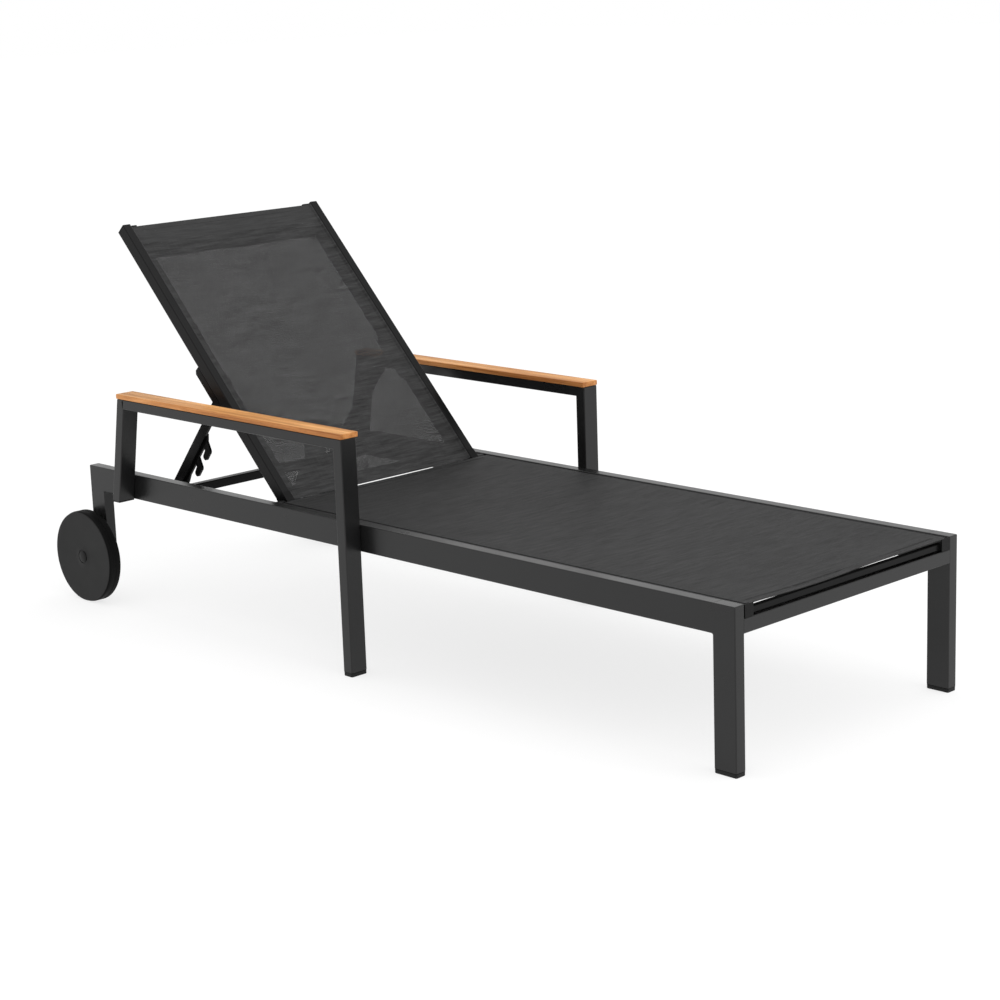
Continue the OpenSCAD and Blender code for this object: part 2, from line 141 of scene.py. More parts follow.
def math_node(nodes, links, op, a, b=None, c=None):
    n = nodes.new("ShaderNodeMath")
    n.operation = op
    for i, v in enumerate((a, b, c)):
        if v is None:
            continue
        if isinstance(v, (int, float)):
            n.inputs[i].default_value = v
        else:
            links.new(v, n.inputs[i])
    return n.outputs[0]


def bump(nodes, links, bsdf, height, strength, distance):
    b = nodes.new("ShaderNodeBump")
    b.inputs["Strength"].default_value = strength
    b.inputs["Distance"].default_value = distance
    links.new(height, b.inputs["Height"])
    links.new(b.outputs["Normal"], bsdf.inputs["Normal"])


def powder_coat(name="charcoal_coat", base=0.0065, gloss=0.37):
    """Charcoal powder coat: fine orange peel and a faint clouding of tone and gloss."""
    mat, nodes, links, bsdf = new_material(name)
    vec = coords(nodes, links)
    cloud = add(nodes, "ShaderNodeTexNoise", Scale=9.0, Detail=3.0)
    links.new(vec, cloud.inputs["Vector"])
    tone = ramp(nodes, links, cloud.outputs["Fac"],
                [(0.3, (base * 0.9, base * 0.9, base * 0.92)),
                 (0.7, (base * 1.1, base * 1.1, base * 1.13))])
    links.new(tone, bsdf.inputs["Base Color"])
    peel = add(nodes, "ShaderNodeTexNoise", Scale=900.0, Detail=2.0)
    links.new(vec, peel.inputs["Vector"])
    bump(nodes, links, bsdf, peel.outputs["Fac"], 0.25, 0.00025)
    rough = ramp(nodes, links, cloud.outputs["Fac"], [(0.3, grey(0.27)), (0.7, grey(0.33))])
    links.new(rough, bsdf.inputs["Roughness"])
    bsdf.inputs["Specular IOR Level"].default_value = gloss
    return mat


def black_plastic(name="black_plastic", base=0.006, rough=0.45, gloss=0.2):
    """Black moulded plastic or rubber: fine grain, clouded tone and gloss."""
    mat, nodes, links, bsdf = new_material(name)
    bsdf.inputs["Specular IOR Level"].default_value = gloss
    vec = coords(nodes, links)
    grain = add(nodes, "ShaderNodeTexNoise", Scale=1400.0, Detail=2.0)
    links.new(vec, grain.inputs["Vector"])
    bump(nodes, links, bsdf, grain.outputs["Fac"], 0.3, 0.0002)
    cloud = add(nodes, "ShaderNodeTexNoise", Scale=25.0, Detail=4.0)
    links.new(vec, cloud.inputs["Vector"])
    links.new(ramp(nodes, links, cloud.outputs["Fac"],
                   [(0.3, grey(base * 0.85)), (0.7, grey(base * 1.2))]),
              bsdf.inputs["Base Color"])
    links.new(ramp(nodes, links, cloud.outputs["Fac"],
                   [(0.3, grey(rough - 0.04)), (0.7, grey(rough + 0.06))]),
              bsdf.inputs["Roughness"])
    return mat


def steel():
    """Dark brushed steel, the brush marks along Y."""
    mat, nodes, links, bsdf = new_material("steel")
    vec = coords(nodes, links, (400, 60, 400))
    brush = add(nodes, "ShaderNodeTexNoise", Scale=1.0, Detail=3.0)
    links.new(vec, brush.inputs["Vector"])
    links.new(ramp(nodes, links, brush.outputs["Fac"],
                   [(0.3, (0.07, 0.07, 0.072)), (0.7, (0.11, 0.11, 0.113))]),
              bsdf.inputs["Base Color"])
    links.new(ramp(nodes, links, brush.outputs["Fac"], [(0.3, grey(0.28)), (0.7, grey(0.42))]),
              bsdf.inputs["Roughness"])
    bsdf.inputs["Metallic"].default_value = 1.0
    return mat


def teak(name="teak", tint=(1, 1, 1)):
    """Oiled teak, the grain along X: long streaks, fine pores, slow colour drift."""
    mat, nodes, links, bsdf = new_material(name)
    long_vec = coords(nodes, links, (2.2, 60, 60))
    figure = add(nodes, "ShaderNodeTexNoise", Scale=1.0, Detail=6.0, Roughness=0.62, Distortion=0.6)
    links.new(long_vec, figure.inputs["Vector"])
    fine_vec = coords(nodes, links, (18, 900, 900))
    fine = add(nodes, "ShaderNodeTexNoise", Scale=1.0, Detail=4.0, Roughness=0.7)
    links.new(fine_vec, fine.inputs["Vector"])
    drift_vec = coords(nodes, links, (3, 6, 6))
    drift = add(nodes, "ShaderNodeTexNoise", Scale=1.0, Detail=2.0)
    links.new(drift_vec, drift.inputs["Vector"])
    grain = ramp(nodes, links, figure.outputs["Fac"],
                 [(0.32, (0.42, 0.170, 0.042)), (0.5, (0.66, 0.312, 0.095)),
                  (0.68, (0.86, 0.460, 0.172))])
    pores = ramp(nodes, links, fine.outputs["Fac"], [(0.36, (0.62, 0.55, 0.5)), (0.5, (1, 1, 1))])
    tone = ramp(nodes, links, drift.outputs["Fac"], [
        (0.3, [c * k for c, k in zip((0.90, 0.88, 0.84), tint)]),
        (0.7, [c * k for c, k in zip((1.05, 1.05, 1.06), tint)])])
    wood = multiply(nodes, links, grain, pores)
    links.new(multiply(nodes, links, wood, tone), bsdf.inputs["Base Color"])
    links.new(ramp(nodes, links, figure.outputs["Fac"], [(0.3, grey(0.58)), (0.7, grey(0.46))]),
              bsdf.inputs["Roughness"])
    bump(nodes, links, bsdf, fine.outputs["Fac"], 0.35, 0.0003)
    bsdf.inputs["Specular IOR Level"].default_value = 0.25
    return mat


WEAVE_PITCH = 0.00105


def mesh_cloth(name, openness, base, streak=1.0, gloss=0.2):
    """Woven sling cloth; its "cloth" UVs are metres along the sling and across it.

    Every thread is coated and nearly black, heather streaks run across the sling, and with some
    openness the holes between the threads let what is behind show through.
    """
    mat, nodes, links, bsdf = new_material(name)
    tex = nodes.new("ShaderNodeUVMap")
    tex.uv_map = "cloth"
    sep = nodes.new("ShaderNodeSeparateXYZ")
    links.new(tex.outputs["UV"], sep.inputs["Vector"])
    along, across = sep.outputs["X"], sep.outputs["Y"]

    def wave(v):
        s = math_node(nodes, links, "MULTIPLY", v, 2 * math.pi / WEAVE_PITCH)
        return math_node(nodes, links, "COSINE", s)

    ca, cb = wave(along), wave(across)
    # A hole where both waves are near their crest
    hole_a = math_node(nodes, links, "GREATER_THAN", ca, 1 - openness)
    hole_b = math_node(nodes, links, "GREATER_THAN", cb, 1 - openness)
    hole = math_node(nodes, links, "MULTIPLY", hole_a, hole_b)
    alpha = math_node(nodes, links, "SUBTRACT", 1.0, hole)
    links.new(alpha, bsdf.inputs["Alpha"])
    # Basket weave relief
    prod = math_node(nodes, links, "MULTIPLY", ca, cb)
    relief = math_node(nodes, links, "MULTIPLY_ADD", prod, 0.5, 0.5)
    bump(nodes, links, bsdf, relief, 0.45, 0.0002)

    def streaks(scale, detail):
        mapping = nodes.new("ShaderNodeMapping")
        mapping.inputs["Scale"].default_value = scale
        links.new(tex.outputs["UV"], mapping.inputs["Vector"])
        n = add(nodes, "ShaderNodeTexNoise", Scale=1.0, Detail=detail, Roughness=0.6)
        links.new(mapping.outputs["Vector"], n.inputs["Vector"])
        return n.outputs["Fac"]

    weft = streaks((430, 26, 1), 3.0)
    coarse = streaks((120, 11, 1), 3.0)
    warp = streaks((22, 300, 1), 2.0)
    cloud = streaks((7, 5, 1), 2.0)
    mixed = math_node(nodes, links, "MULTIPLY", weft, 0.45)
    for part, weight in ((coarse, 0.60), (cloud, 0.12), (warp, 0.15)):
        mixed = math_node(nodes, links, "MULTIPLY_ADD", part, weight, mixed)
    lo, hi = base * (1 - 0.62 * streak), base * (1 + 0.82 * streak)
    links.new(ramp(nodes, links, mixed, [(0.48, grey(lo, 1.01)), (0.86, grey(hi, 1.01))]),
              bsdf.inputs["Base Color"])
    bsdf.inputs["Roughness"].default_value = 0.66
    bsdf.inputs["Specular IOR Level"].default_value = gloss
    return mat


COAT = powder_coat()
# A darker, duller copy of the coat for the back rails: painted shade
BACK_SHADED_COAT = powder_coat("charcoal_coat_back_painted_shade", base=0.0060, gloss=0.11)
# A darker copy of the coat for the parts under the seat and back: painted shade
SHADED_COAT = powder_coat("charcoal_coat_painted_shade", base=0.003, gloss=0.10)
PLASTIC = black_plastic()
TYRE = black_plastic("tyre", base=0.0035, rough=0.62, gloss=0.09)
DISC = black_plastic("wheel_plastic", base=0.009, rough=0.5, gloss=0.18)
CAP = black_plastic("cap_plastic", base=0.005, gloss=0.12)
STEEL = steel()
TEAK = teak()
# A darker tint of the teak for the slats' sides and ends: painted shade, and darker end grain at
# the ends
TEAK_SIDE_SHADE = teak("teak_side_shade", (0.84, 0.73, 0.69))
MESH = mesh_cloth("sling_mesh", openness=0.112, base=0.026)
# The seat's copy of the sling cloth is darker than the back's: painted shade, since the seat faces
# the light
SEAT_MESH_SHADED = mesh_cloth("sling_mesh_seat_shaded", openness=0.0, base=0.0180, gloss=0.17)
# Near-black cloth for the seat's welts: painted shade of the rails' grooves
MESH_GROOVE_SHADE = mesh_cloth("sling_mesh_groove_shade", openness=0.0, streak=0.3, base=0.003, gloss=0.03)
MESH_DOUBLE = mesh_cloth("sling_mesh_double", openness=0.02, streak=0.45, base=0.030)
THREAD = black_plastic("thread", base=0.017, rough=0.7)
SLOT_MATERIAL = {"charcoal_coat": COAT, "black_plastic": PLASTIC, "tyre": TYRE, "sling_mesh": MESH,
                 "teak": TEAK, "steel": STEEL}


# ---------------------------------------------------------------- mesh helpers

def new_object(name, bm, mat, body, replaces):
    """Makes the object of a bmesh, riding on body and standing for the CAD nodes in replaces."""
    me = bpy.data.meshes.new(name)
    bm.to_mesh(me)
    bm.free()
    obj = bpy.data.objects.new(name, me)
    bpy.context.scene.collection.objects.link(obj)
    me.materials.append(mat)
    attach(obj, body)
    if replaces:
        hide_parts(*replaces)
    return obj


def finish_mesh(name, bm, mat, body, replaces=(), angle=40):
    """Makes the object of a solid, smooth but for edges sharper than angle."""
    bmesh.ops.recalc_face_normals(bm, faces=bm.faces)
    for f in bm.faces:
        f.smooth = True
    for e in bm.edges:
        if len(e.link_faces) == 2 and e.calc_face_angle(0) > math.radians(angle):
            e.smooth = False
    obj = new_object(name, bm, mat, body, replaces)
    # Large flat faces stay flat in shading beside their rounded edges
    m = obj.modifiers.new("face_normals", "WEIGHTED_NORMAL")
    m.keep_sharp = True
    m.weight = 80
    return obj


def soften(node, width):
    """Rounds a carried-over CAD node's edges; its own mesh stays as it is."""
    m = NODES[node].modifiers.new("soft_edges", "BEVEL")
    m.width = width
    m.segments = 2
    m.limit_method = "ANGLE"
    m.angle_limit = math.radians(50)
    m.use_clamp_overlap = True


def rounded_outline(w, h, r, n=5):
    """Points of a rounded rectangle about (0, 0), counter-clockwise."""
    pts = []
    for cx, cy, a0 in ((w / 2 - r, h / 2 - r, 0), (-w / 2 + r, h / 2 - r, 90),
                       (-w / 2 + r, -h / 2 + r, 180), (w / 2 - r, -h / 2 + r, 270)):
        for i in range(n):
            a = math.radians(a0 + 90 * i / (n - 1))
            pts.append((cx + r * math.cos(a), cy + r * math.sin(a)))
    return pts


def prism(bm, outline, place, length, rim=0.0):
    """Sweeps an outline along its local Z; rim rounds the two ends."""
    rings = []
    steps = [(0.0, 0.0), (length, 0.0)]
    if rim:
        n = 3
        turns = [math.pi / 2 * i / n for i in range(n + 1)]
        low = [(rim * (1 - math.cos(t)), rim * (1 - math.sin(t))) for t in turns]
        steps = low + [(length - z, d) for z, d in reversed(low)]
    cx = sum(p[0] for p in outline) / len(outline)
    cy = sum(p[1] for p in outline) / len(outline)
    w = max(p[0] for p in outline) - min(p[0] for p in outline)
    h = max(p[1] for p in outline) - min(p[1] for p in outline)
    for z, d in steps:
        sx, sy = (w - 2 * d) / w, (h - 2 * d) / h
        rings.append([bm.verts.new(place @ Vector((cx + (x - cx) * sx, cy + (y - cy) * sy, z)))
                      for x, y in outline])
    for a, b in zip(rings, rings[1:]):
        for i in range(len(outline)):
            j = (i + 1) % len(outline)
            bm.faces.new((a[i], a[j], b[j], b[i]))
    bm.faces.new(rings[0][::-1])
    bm.faces.new(rings[-1])


ALONG_X = Matrix(((0, 0, 1, 0), (1, 0, 0, 0), (0, 1, 0, 0), (0, 0, 0, 1)))
ALONG_Y = Matrix(((0, 1, 0, 0), (0, 0, 1, 0), (1, 0, 0, 0), (0, 0, 0, 1)))
IN_BACK = Matrix.Translation(HINGE) @ Matrix.Rotation(BACK_ANGLE, 4, "Y")


def tube(node, axis, body, mat=COAT, grow=(0, 0), rim=0.0, trim=(0, 0)):
    """A rounded tube that stands for a straight CAD tube, grown at its ends to meet its neighbours.

    trim takes the given heights off its underside and its top.
    """
    lo, hi = box(node)
    lo.z += trim[0]
    hi.z -= trim[1]
    size, mid = hi - lo, (lo + hi) / 2
    bm = bmesh.new()
    if axis == "X":
        place = Matrix.Translation((lo.x - grow[0], mid.y, mid.z)) @ ALONG_X
        prism(bm, rounded_outline(size.y, size.z, CORNER), place, size.x + sum(grow), rim=rim)
    elif axis == "Y":
        place = Matrix.Translation((mid.x, lo.y - grow[0], mid.z)) @ ALONG_Y
        prism(bm, rounded_outline(size.z, size.x, CORNER), place, size.y + sum(grow), rim=rim)
    else:
        place = Matrix.Translation((mid.x, mid.y, lo.z - grow[0]))
        prism(bm, rounded_outline(size.x, size.y, CORNER), place, size.z + sum(grow), rim=rim)
    finish_mesh(node + "_tube", bm, mat, body, (node,))


def lathe(name, profile, side, mat, body, replaces, n):
    """Turns a profile of (radius, distance outward from the lounger's middle) about the axle."""
    bm = bmesh.new()
    rings = []
    for rad, out in profile:
        y = side * out
        if rad < 1e-6:
            rings.append([bm.verts.new((AXLE.x, y, AXLE.z))])
        else:
            rings.append([bm.verts.new((AXLE.x + rad * math.cos(2 * math.pi * i / n), y,
                                        AXLE.z + rad * math.sin(2 * math.pi * i / n)))
                          for i in range(n)])
    closed = profile[0] == profile[-1]
    if closed:
        for v in rings[-1]:
            bm.verts.remove(v)
        rings[-1] = rings[0]
    for a, b in zip(rings, rings[1:]):
        for i in range(n):
            j = (i + 1) % n
            if len(a) == 1:
                bm.faces.new((a[0], b[i], b[j]))
            elif len(b) == 1:
                bm.faces.new((a[i], a[j], b[0]))
            else:
                bm.faces.new((a[i], a[j], b[j], b[i]))
    finish_mesh(name, bm, mat, body, replaces, angle=35)


# ---------------------------------------------------------------- base frame

# Cross members reach a millimetre into their neighbours; posts and legs have eased ends
MEET = (0.001, 0.001)
LEG_RIM = 0.0015
for tag in SIDES:
    tube(f"side_rail_{tag}", "X", "frame", grow=(CORNER, CORNER))
    for leg in ("foot_leg", "wheel_leg"):
        tube(f"{leg}_{tag}", "Z", "frame", rim=LEG_RIM)
tube("foot_rail", "Y", "frame", grow=MEET)
# The cross members and spreaders under the seat, the foot spreader too, take the darker coat:
# painted shade
for node in ("seat_cross_rail_front", "seat_cross_rail_rear", "catch_bar", "seat_spreader_middle",
             "seat_spreader_rear"):
    tube(node, "Y", "frame", mat=SHADED_COAT, grow=MEET)
# The foot spreader's visible tube is slimmer than its solid and clears the slack sling edge
tube("seat_spreader_foot", "Y", "frame", mat=SHADED_COAT, grow=MEET, trim=(0.0005, 0.0013))


def fillet(name, corner, dx, dz, y0, y1, r):
    """Weld fillet in the corner between a vertical and a horizontal face, run along Y.

    dx and dz are the ways from the corner into the open.
    """
    bm = bmesh.new()
    n = 6
    pts = [Vector((0, 0))]
    for i in range(n + 1):
        a = math.pi / 2 * i / n
        pts.append(Vector((r - r * math.sin(a), r - r * math.cos(a))))
    rings = []
    for y in (y0, y1):
        rings.append([bm.verts.new((corner[0] + dx * p.x, y, corner[1] + dz * p.y)) for p in pts])
    a, b = rings
    for i in range(len(pts)):
        j = (i + 1) % len(pts)
        bm.faces.new((a[i], a[j], b[j], b[i]))
    bm.faces.new(a)
    bm.faces.new(b[::-1])
    finish_mesh(name, bm, COAT, "frame")


WELD, WELD_INSET = 0.006, 0.0025
for tag in SIDES:
    lo, hi = box(f"foot_leg_{tag}")
    fillet(f"weld_foot_{tag}", (lo.x, RAIL_LOW), -1, -1, lo.y + WELD_INSET, hi.y - WELD_INSET, WELD)
    lo, hi = box(f"wheel_leg_{tag}")
    fillet(f"weld_wheel_{tag}", (hi.x, RAIL_LOW), 1, -1, lo.y + WELD_INSET, hi.y - WELD_INSET, WELD)


# ---------------------------------------------------------------- arms

POST_DEPTH = 0.025
for tag in SIDES:
    tube(f"arm_front_post_{tag}", "Z", "frame", rim=LEG_RIM)
    lo, hi = box(f"arm_top_tube_{tag}")
    bm = bmesh.new()
    mid = (lo + hi) / 2
    # It starts inside the rear post, whose top slants
    start = ARM_REAR + 0.018
    prism(bm, rounded_outline(hi.y - lo.y, hi.z - lo.z, CORNER),
          Matrix.Translation((start, mid.y, mid.z)) @ ALONG_X, hi.x + CORNER - start)
    finish_mesh(f"arm_top_tube_{tag}_tube", bm, COAT, "frame",
                (f"arm_top_tube_{tag}",))
    # Leaning rear post: a straight tube sheared along X
    lo, hi = box(f"arm_rear_post_{tag}")
    bm = bmesh.new()
    place = Matrix.Translation((ARM_REAR + POST_DEPTH / 2, mid.y, lo.z))
    prism(bm, rounded_outline(POST_DEPTH, hi.y - lo.y, CORNER), place, hi.z - lo.z, rim=0.0012)
    for v in bm.verts:
        v.co.x -= (ARM_TOP - v.co.z) * POST_LEAN
    finish_mesh(f"arm_rear_post_{tag}_tube", bm, COAT, "frame",
                (f"arm_rear_post_{tag}",))


def teak_slat(tag):
    """An armrest: one slat with eased edges."""
    lo, hi = box(f"armrest_slat_{tag}")
    size, mid = hi - lo, (lo + hi) / 2
    bm = bmesh.new()
    outline = rounded_outline(size.y, size.z, r=0.0016, n=4)
    prism(bm, outline, Matrix.Translation((lo.x, mid.y, mid.z)) @ ALONG_X, size.x, rim=0.0014)
    slat = finish_mesh(f"armrest_{tag}", bm, TEAK, "frame", (f"armrest_slat_{tag}",))
    # The sides and ends get a darker tint: painted shade, the top lit more than the sides; at the
    # ends also darker end grain
    slat.data.materials.append(TEAK_SIDE_SHADE)
    for face in slat.data.polygons:
        if abs(face.normal.z) < 0.75:
            face.material_index = 1


for tag in SIDES:
    teak_slat(tag)


# ---------------------------------------------------------------- feet, plugs and caps

def foot(node, tag):
    """Plastic foot: a rounded pad, a rim that meets the tube and the plug inside it."""
    lo, hi = box(f"{node}_{tag}")
    mid = (lo + hi) / 2
    w, d = hi.x - lo.x, hi.y - lo.y
    bm = bmesh.new()
    # How much narrower than the box, corner radius, height of its underside, length, rim
    for less, r, z, length, rim in ((0.0012, 0.003, 0, 0.0065, 0.0012),
                                    (0.0008, 0.003, 0.006, 0.0019, 0.0004),
                                    (0.006, 0.001, 0.007, 0.018, 0.0)):
        prism(bm, rounded_outline(w - less, d - less, r),
              Matrix.Translation((mid.x, mid.y, z)), length, rim=rim)
    finish_mesh(f"{node}_{tag}_pad", bm, PLASTIC, "frame", (f"{node}_{tag}",))


for tag in SIDES:
    foot("foot_glide", tag)
    foot("arm_glide", tag)


# ---------------------------------------------------------------- wheels

def wheel(tag, side):
    """Tyre, disc and hub cap; a and b are the wheel's inner and outer sides."""
    a, b = WHEEL_IN, WHEEL_IN + WHEEL_WIDTH
    body = f"wheel_{tag}"
    # Tyre: rounded shoulders with a shallow groove round the middle of its tread
    tread, seat_r, shoulder, chamfer = WHEEL_RADIUS, 0.0955, 0.0055, 0.0012
    out = b - 0.0018
    mid = (a + b) / 2
    turns = [math.pi / 2 * i / 6 for i in range(7)]
    prof = [(seat_r, a + chamfer), (seat_r + chamfer, a)]
    prof += [(tread - shoulder + shoulder * math.sin(t), a + shoulder - shoulder * math.cos(t))
             for t in turns]
    prof += [(tread, mid - 0.0035), (tread - 0.0008, mid - 0.0025),
             (tread - 0.0008, mid + 0.0025), (tread, mid + 0.0035)]
    prof += [(tread - shoulder + shoulder * math.sin(t), out - shoulder + shoulder * math.cos(t))
             for t in reversed(turns)]
    prof += [(seat_r + chamfer, out), (seat_r, out - chamfer)]
    prof.append(prof[0])
    lathe(f"tyre_{tag}", prof, side, TYRE, body, (f"wheel_tyre_{tag}",), n=128)
    # Disc: bored hub and thin web, then the rim's tube under the tyre
    face, face_r, bore, hub_r, back = b - 0.0002, 0.1008, 0.0052, 0.018, a + 0.001
    prof = [(bore, back), (hub_r, back), (hub_r, face - 0.0055), (0.0875, face - 0.0055),
            (0.0875, back), (0.0953, back), (0.0953, face - 0.0016)]
    # Its flat face laps over the tyre's side and is dished a little towards the hub
    prof += [(face_r, face - 0.0016), (face_r + 0.0003, face - 0.0010), (face_r, face - 0.0003),
             (face_r - 0.0012, face), (0.090, face - 0.0003), (0.060, face - 0.0010),
             (0.030, face - 0.0014), (0.021, face - 0.0010), (0.0172, face - 0.0002),
             (0.0158, face - 0.0004), (0.0150, face - 0.0016), (0.0112, face - 0.0016),
             (0.0112, face - 0.0065), (bore, face - 0.0065)]
    prof.append(prof[0])
    lathe(f"disc_{tag}", prof, side, DISC, body, (f"wheel_disc_{tag}",), n=128)
    # Hub cap: a domed head and the sleeve that snaps into the disc
    prof = [(0.0, b + 0.0025), (0.005, b + 0.00245), (0.0095, b + 0.0019), (0.0122, b + 0.0008),
            (0.0130, b - 0.0004), (0.0108, b - 0.0004), (0.0108, b - 0.006), (0.0092, b - 0.006),
            (0.0092, b - 0.0016), (0.0, b - 0.0016)]
    lathe(f"hub_{tag}", prof, side, DISC, body, (f"hub_cap_{tag}",), n=64)


for tag, side in SIDES.items():
    wheel(tag, side)


# ---------------------------------------------------------------- slings

def strip(name, rows, mat, body, replaces=()):
    """A cloth surface from rows of points; UVs are lengths in metres along and across."""
    bm = bmesh.new()
    uv = {}
    grid = []
    along = 0.0
    for i, row in enumerate(rows):
        if i:
            mid = len(row) // 2
            along += (row[mid] - rows[i - 1][mid]).length
        across = [0.0]
        for p, q in zip(row, row[1:]):
            across.append(across[-1] + (q - p).length)
        centre = across[-1] / 2
        line = []
        for p, c in zip(row, across):
            v = bm.verts.new(p)
            uv[v] = (along, c - centre)
            line.append(v)
        grid.append(line)
    for a, b in zip(grid, grid[1:]):
        for i in range(len(a) - 1):
            bm.faces.new((a[i], a[i + 1], b[i + 1], b[i]))
    layer = bm.loops.layers.uv.new("cloth")
    for f in bm.faces:
        f.smooth = True
        for loop in f.loops:
            loop[layer].uv = uv[loop.vert]
    return new_object(name, bm, mat, body, replaces)


STITCH_PITCH, STITCH_LENGTH, THREAD_RADIUS = 0.0042, 0.0031, 0.00035


def stitches(name, start, end, normal, body):
    """A straight row of sewn thread: short rounded dashes that lie on the cloth."""
    bm = bmesh.new()
    run = end - start
    along = run.normalized()
    side = normal.cross(along).normalized()
    count = int(run.length / STITCH_PITCH)
    for i in range(count):
        first = start + along * (i * STITCH_PITCH + (STITCH_PITCH - STITCH_LENGTH) / 2)
        rings = []
        # Each dash dips into the cloth at both ends
        for t, scale, lift in ((0, 0.35, -0.4), (0.2, 1, 0.5), (0.8, 1, 0.5), (1, 0.35, -0.4)):
            mid = first + along * (STITCH_LENGTH * t) + normal * (THREAD_RADIUS * lift)
            r = THREAD_RADIUS * scale
            rings.append([bm.verts.new(mid + side * (r * math.cos(math.radians(60 * k)))
                                       + normal * (r * math.sin(math.radians(60 * k))))
                          for k in range(6)])
        for a, b in zip(rings, rings[1:]):
            for k in range(6):
                bm.faces.new((a[k], a[(k + 1) % 6], b[(k + 1) % 6], b[k]))
        bm.faces.new(rings[0][::-1])
        bm.faces.new(rings[-1])
    return finish_mesh(name, bm, THREAD, body, angle=80)


def seam(prefix, point, reach, normal, body):
    """Stitches across a sling in four parts, which follow its sag; point(v) is a place on it."""
    stops = (-reach, -0.5, 0, 0.5, reach)
    return [stitches(f"{prefix}_{i + 1}", point(v0), point(v1), normal, body)
            for i, (v0, v1) in enumerate(zip(stops, stops[1:]))]


# The cloth lies this far above the ledge that holds it
CLOTH_CLEAR = 0.0003
SEAT_TOP = RAIL_TOP - 0.001
SEAT_HALF = 0.2922
SEAT_RAIL_IN = 0.2735
SEAT_X0, SEAT_X1 = HALF - 1.231, HALF - 0.001
SEAT_SAG = 0.0042
# How far in from the head and the foot edge the sag is changed, and the foot edge's own dip
HEAD_FADE, FOOT_FADE, EDGE_DIP = 0.06, 0.05, 0.0030
# The sides turn down round this radius and end this much lower
EDGE_ROLL, EDGE_DROP = 0.0012, 0.003


def seat_point(x, v):
    """A point of the seat sling: v is from -1 at the right edge to 1 at the left."""
    y = v * SEAT_HALF
    t = min(1.0, abs(y) / SEAT_RAIL_IN)
    span = (x - SEAT_X0) / (SEAT_X1 - SEAT_X0)
    # The sag is shallower a quarter of the way in from each end
    sag = SEAT_SAG * (1 - t ** 2) * (0.55 + 0.45 * math.cos(2 * math.pi * span) ** 2)
    # The cloth is drawn tight near the head edge
    sag *= 1 - 0.75 * math.exp(-(x - SEAT_X0) / HEAD_FADE)
    # The foot edge is slacker towards the sitter's right
    edge = math.exp(-(SEAT_X1 - x) / FOOT_FADE)
    sag = sag * (1 - 0.85 * edge) + edge * EDGE_DIP * max(0, 1 - ((y + 0.10) / 0.17) ** 2) ** 2
    wob = 0.0005 * noise.noise(Vector((x * 9, y * 5, 1.7))) * (1 - t ** 4)
    return Vector((x, y, SEAT_TOP + CLOTH_CLEAR - sag + wob))


WELT = 1 - 0.0035 / SEAT_HALF
SEAT_ACROSS = [-1, -WELT] + [-1 + 2 * j / 56 for j in range(1, 56)] + [WELT, 1]
# Faces across each welt: one flat, four round the corner and one that hangs
EDGE_FACES = 6


def seat_rows(x0, x1, n):
    """Rows of the seat sling's points, from x0 to x1 in n steps."""
    rows = []
    for i in range(n + 1):
        x = x0 + (x1 - x0) * i / n
        row = [seat_point(x, v) for v in SEAT_ACROSS]
        # Both edges roll down over the rails' outer corners
        for end, sgn in ((0, -1), (-1, 1)):
            base = row[end].copy()
            extra = []
            for k in range(1, 5):
                a = math.pi / 2 * k / 4
                extra.append(base + Vector((0, sgn * EDGE_ROLL * math.sin(a),
                                            -EDGE_ROLL * (1 - math.cos(a)))))
            extra.append(extra[-1] + Vector((0, 0, -EDGE_DROP)))
            row = list(reversed(extra)) + row if end == 0 else row + extra
        rows.append(row)
    return rows


def seat_hem(name, x_edge, inward):
    """The sling's end turned under and sewn: inward is the way from the edge onto the seat."""
    depth, gap, half = 0.022, 0.0014, SEAT_RAIL_IN - 0.001
    rows = []
    turn = [(-gap / 2 * math.sin(math.pi * k / 6), -gap / 2 * (1 - math.cos(math.pi * k / 6)))
            for k in range(7)]
    for dx, dz in turn + [(depth / 2, -gap), (depth, -gap * 0.8)]:
        row = []
        for j in range(41):
            p = seat_point(x_edge + inward * max(dx, 0), (-1 + 2 * j / 40) * half / SEAT_HALF)
            row.append(p + Vector((inward * min(dx, 0), 0, dz)))
        rows.append(row)
    return strip(name, rows, SEAT_MESH_SHADED, "frame")


# The seat takes the darker copy of the sling cloth: painted shade
seat = strip("seat_mesh", seat_rows(SEAT_X0, SEAT_X1, 120), SEAT_MESH_SHADED, "frame", ("seat_sling",))
# The welts that sit in the rails' grooves get a near-black cloth: painted shade of the grooves
seat.data.materials.append(MESH_GROOVE_SHADE)
per_row = len(SEAT_ACROSS) - 1 + 2 * (EDGE_FACES - 1)
for i, face in enumerate(seat.data.polygons):
    if i % per_row < EDGE_FACES or i % per_row >= per_row - EDGE_FACES:
        face.material_index = 1
seat_trim = []
for name, edge, inward in (("foot", SEAT_X1, -1), ("head", SEAT_X0, 1)):
    seat_trim.append(seat_hem(f"seat_hem_{name}", edge, inward))
    for k, at in enumerate((0.016, 0.0195)):
        x = edge + inward * at
        seat_trim += seam(f"seat_seam_{name}_{k + 1}", lambda v: seat_point(x, v), 0.93,
                          Vector((0, 0, 1)), "frame")

LIP_IN = BACK_OUT - LIP
BACK_A0, BACK_A1 = 0.002, BACK_LEN - 0.001
# The top bar: its middle's height above the hinge and its section
BAR_AT, BAR_WIDTH, BAR_DEPTH, BAR_Z = 0.678, 0.025, 0.018, -0.0035
BAR_TOP, BAR_FOOT = BAR_AT + BAR_WIDTH / 2, BAR_AT - BAR_WIDTH / 2
POCKET_SEAM = BAR_FOOT - 0.010
BACK_HALF = LIP_IN - 0.0002
BACK_SAG = 0.0045
# A cord sewn into each edge: how high it lifts the cloth, where the rise starts and how wide it is
CORD_LIFT, CORD_START, CORD_RISE = 0.0042, 0.0062, 0.0052


